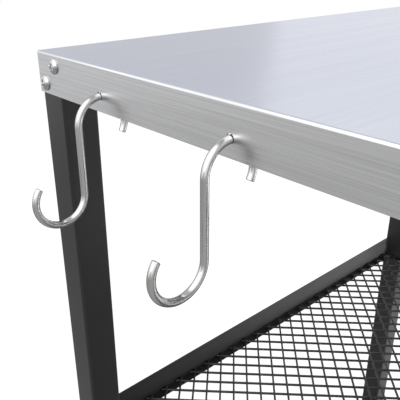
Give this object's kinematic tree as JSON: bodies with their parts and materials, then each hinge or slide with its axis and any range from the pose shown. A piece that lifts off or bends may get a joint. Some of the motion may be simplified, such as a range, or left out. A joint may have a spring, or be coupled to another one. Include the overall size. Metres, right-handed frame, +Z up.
{
  "type": "grill prep cart",
  "caption": "Outdoor grill prep cart: folded stainless worktop with S-hooks on its front apron, black square-tube legs, two rimmed mesh shelves, push handle and braked swivel casters.",
  "frame": {"origin": "on the floor, under the middle of the cart's overall box", "axes": "+X along the worktop towards the push handle, +Y from the hook side to the back, +Z up"},
  "size_m": [0.9842, 0.6724, 0.9],
  "materials": {
    "worktop_steel": "brushed along the length",
    "galvanised_channel": "plain mill finish",
    "hook_steel": "bright polished wire",
    "apron_screw_chrome": "bright",
    "black_coat": "satin powder coat",
    "mesh_coat": "satin powder coat",
    "dark_zinc": "blackened zinc",
    "plain_zinc": "bright zinc",
    "ball_steel": "polished",
    "insert_plastic": "moulded nylon",
    "hub_plastic": "moulded nylon",
    "tyre_rubber": "smooth grey rubber",
    "brake_plastic": "moulded nylon"
  },
  "bodies": {
    "cart": {"tabletop": "worktop_steel", "stiffener_left": "galvanised_channel", "stiffener_right": "galvanised_channel", "apron_screws": "apron_screw_chrome", "apron_nuts": "plain_zinc", "leg_front_left": "black_coat", "leg_front_right": "black_coat", "leg_back_left": "black_coat", "leg_back_right": "black_coat", "leg_inserts": "insert_plastic", "upper_shelf_frame": "black_coat", "upper_shelf_mesh": "mesh_coat", "lower_shelf_frame": "black_coat", "lower_shelf_mesh": "mesh_coat", "shelf_screws": "dark_zinc", "shelf_nuts": "plain_zinc", "side_handle": "black_coat", "handle_screws": "apron_screw_chrome", "handle_nuts": "plain_zinc", "caster_stem_front_left": "plain_zinc", "caster_stem_front_right": "plain_zinc", "caster_stem_back_left": "plain_zinc", "caster_stem_back_right": "plain_zinc"},
    "hook_1": {"hook_1": "hook_steel"},
    "hook_2": {"hook_2": "hook_steel"},
    "hook_3": {"hook_3": "hook_steel"},
    "hook_4": {"hook_4": "hook_steel"},
    "swivel_front_left": {"caster_balls_front_left": "ball_steel", "caster_fork_front_left": "plain_zinc", "caster_axle_front_left": "plain_zinc", "caster_bush_front_left": "plain_zinc"},
    "wheel_front_left": {"caster_hub_front_left": "hub_plastic", "caster_tyre_front_left": "tyre_rubber"},
    "swivel_front_right": {"caster_balls_front_right": "ball_steel", "caster_fork_front_right": "plain_zinc", "caster_axle_front_right": "plain_zinc", "caster_bush_front_right": "plain_zinc", "brake_pin_front_right": "plain_zinc"},
    "wheel_front_right": {"caster_hub_front_right": "hub_plastic", "caster_tyre_front_right": "tyre_rubber"},
    "brake_front_right": {"brake_lever_front_right": "brake_plastic"},
    "swivel_back_left": {"caster_balls_back_left": "ball_steel", "caster_fork_back_left": "plain_zinc", "caster_axle_back_left": "plain_zinc", "caster_bush_back_left": "plain_zinc"},
    "wheel_back_left": {"caster_hub_back_left": "hub_plastic", "caster_tyre_back_left": "tyre_rubber"},
    "swivel_back_right": {"caster_balls_back_right": "ball_steel", "caster_fork_back_right": "plain_zinc", "caster_axle_back_right": "plain_zinc", "caster_bush_back_right": "plain_zinc", "brake_pin_back_right": "plain_zinc"},
    "wheel_back_right": {"caster_hub_back_right": "hub_plastic", "caster_tyre_back_right": "tyre_rubber"},
    "brake_back_right": {"brake_lever_back_right": "brake_plastic"}
  },
  "joints": [
    {"name": "hook_1_swing", "type": "hinge", "parent": "cart", "child": "hook_1", "pos_m": [-0.40708, -0.27882, 0.87965], "axis": [0, 1, 0], "range_deg": [-90, 90]},
    {"name": "hook_2_swing", "type": "hinge", "parent": "cart", "child": "hook_2", "pos_m": [-0.28308, -0.27882, 0.87965], "axis": [0, 1, 0], "range_deg": [-90, 90]},
    {"name": "hook_3_swing", "type": "hinge", "parent": "cart", "child": "hook_3", "pos_m": [0.21293, -0.27882, 0.87965], "axis": [0, 1, 0], "range_deg": [-90, 90]},
    {"name": "hook_4_swing", "type": "hinge", "parent": "cart", "child": "hook_4", "pos_m": [0.33692, -0.27882, 0.87965], "axis": [0, 1, 0], "range_deg": [-90, 90]},
    {"name": "caster_front_left_swivel", "type": "hinge", "parent": "cart", "child": "swivel_front_left", "pos_m": [-0.47573, -0.26308, 0.083], "axis": [0, 0, 1], "continuous": true},
    {"name": "wheel_front_left_spin", "type": "hinge", "parent": "swivel_front_left", "child": "wheel_front_left", "pos_m": [-0.44572, -0.26308, 0.0375], "axis": [0, 1, 0], "continuous": true},
    {"name": "caster_front_right_swivel", "type": "hinge", "parent": "cart", "child": "swivel_front_right", "pos_m": [0.40558, -0.26308, 0.083], "axis": [0, 0, 1], "continuous": true},
    {"name": "wheel_front_right_spin", "type": "hinge", "parent": "swivel_front_right", "child": "wheel_front_right", "pos_m": [0.43557, -0.26308, 0.0375], "axis": [0, 1, 0], "continuous": true},
    {"name": "brake_front_right_press", "type": "hinge", "parent": "swivel_front_right", "child": "brake_front_right", "pos_m": [0.45491, -0.26308, 0.07714], "axis": [0, 1, 0], "range_deg": [0, 22]},
    {"name": "caster_back_left_swivel", "type": "hinge", "parent": "cart", "child": "swivel_back_left", "pos_m": [-0.47573, 0.31422, 0.083], "axis": [0, 0, 1], "continuous": true},
    {"name": "wheel_back_left_spin", "type": "hinge", "parent": "swivel_back_left", "child": "wheel_back_left", "pos_m": [-0.44572, 0.31422, 0.0375], "axis": [0, 1, 0], "continuous": true},
    {"name": "caster_back_right_swivel", "type": "hinge", "parent": "cart", "child": "swivel_back_right", "pos_m": [0.40558, 0.31422, 0.083], "axis": [0, 0, 1], "continuous": true},
    {"name": "wheel_back_right_spin", "type": "hinge", "parent": "swivel_back_right", "child": "wheel_back_right", "pos_m": [0.43557, 0.31422, 0.0375], "axis": [0, 1, 0], "continuous": true},
    {"name": "brake_back_right_press", "type": "hinge", "parent": "swivel_back_right", "child": "brake_back_right", "pos_m": [0.45491, 0.31422, 0.07714], "axis": [0, 1, 0], "range_deg": [0, 22]}
  ]
}
